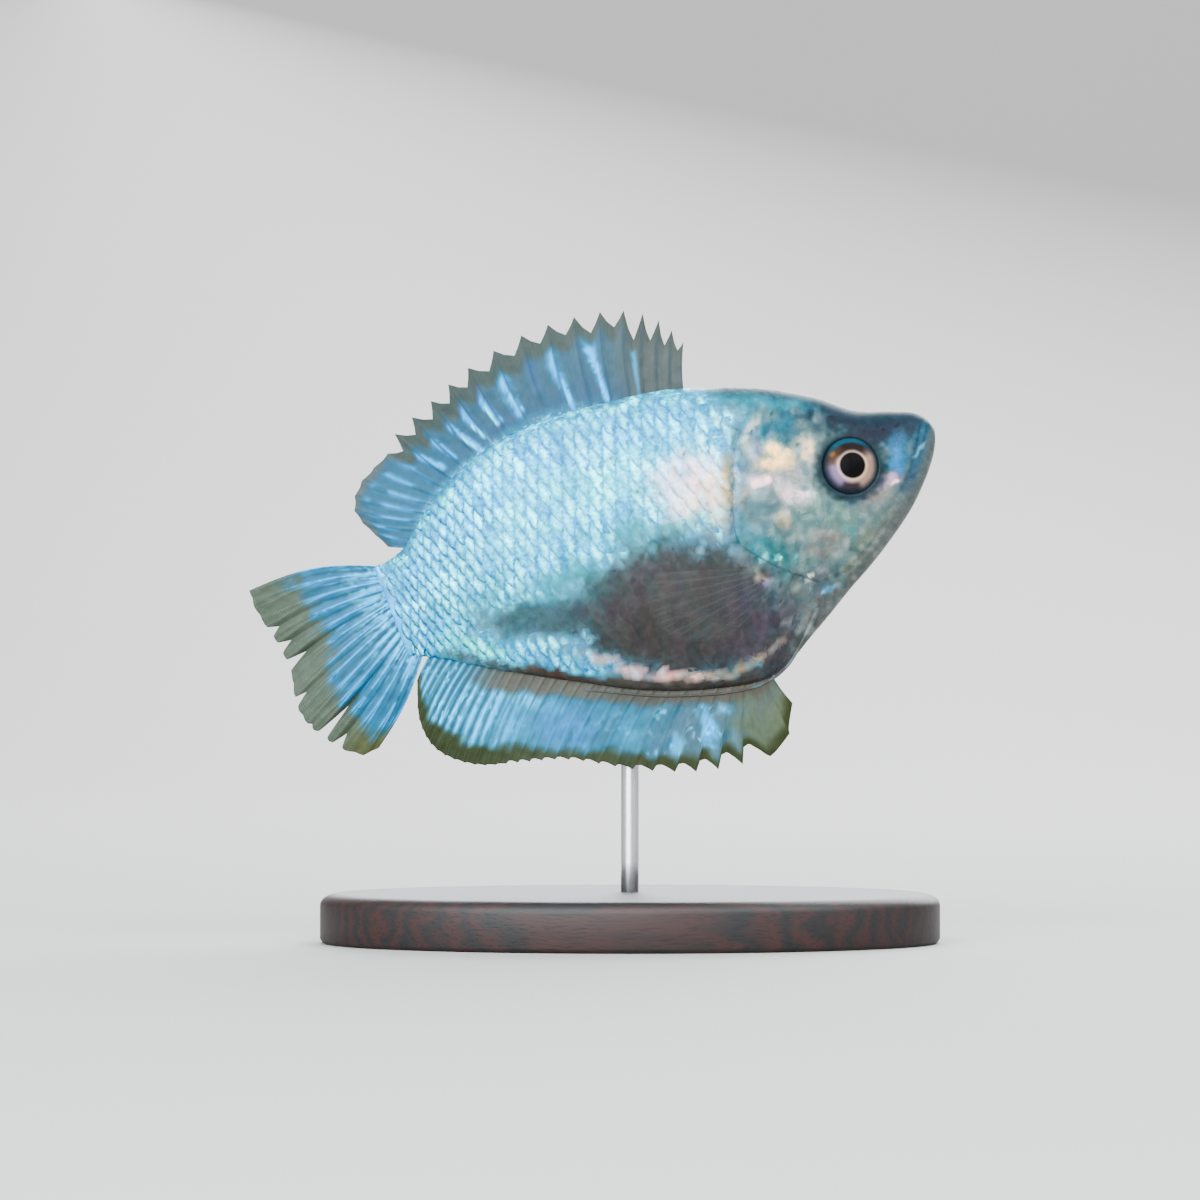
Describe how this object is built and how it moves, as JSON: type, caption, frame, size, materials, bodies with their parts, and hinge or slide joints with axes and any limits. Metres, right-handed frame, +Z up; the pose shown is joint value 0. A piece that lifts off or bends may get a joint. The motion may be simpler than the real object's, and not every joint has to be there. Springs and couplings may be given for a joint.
{
  "type": "dwarf gourami display model",
  "caption": "Life-size display model of a pale blue dwarf gourami with its fins spread, held nose-up by one rod over an oval base.",
  "frame": {"origin": "centre of the stand base's underside", "axes": "+X towards the snout, along the body as seen from above; +Y to the fish's left; +Z up"},
  "size_m": [0.0692, 0.038, 0.0633],
  "materials": {
    "skin": "pearly scales, pale blue with teal, silver and pink",
    "fin": "pearly blue membrane with an olive grey edge",
    "clear_fin": "glassy, nearly clear membrane and thread",
    "eye": "wet gloss, pink gold iris round a black pupil",
    "stand_wood": "dark turned walnut, satin oil",
    "stand_steel": "fine brushed"
  },
  "bodies": {
    "root": {"head": "skin", "gill_cover_left": "skin", "gill_cover_right": "skin", "trunk": "skin", "tail_stalk": "skin", "eye_left": "eye", "eye_right": "eye", "dorsal_fin": "fin", "anal_fin": "fin", "tail_fin": "fin", "pectoral_fin_left": "clear_fin", "pectoral_fin_right": "clear_fin", "pelvic_thread_left": "clear_fin", "pelvic_thread_right": "clear_fin", "stand_base": "stand_wood", "stand_rod": "stand_steel"}
  },
  "joints": []
}
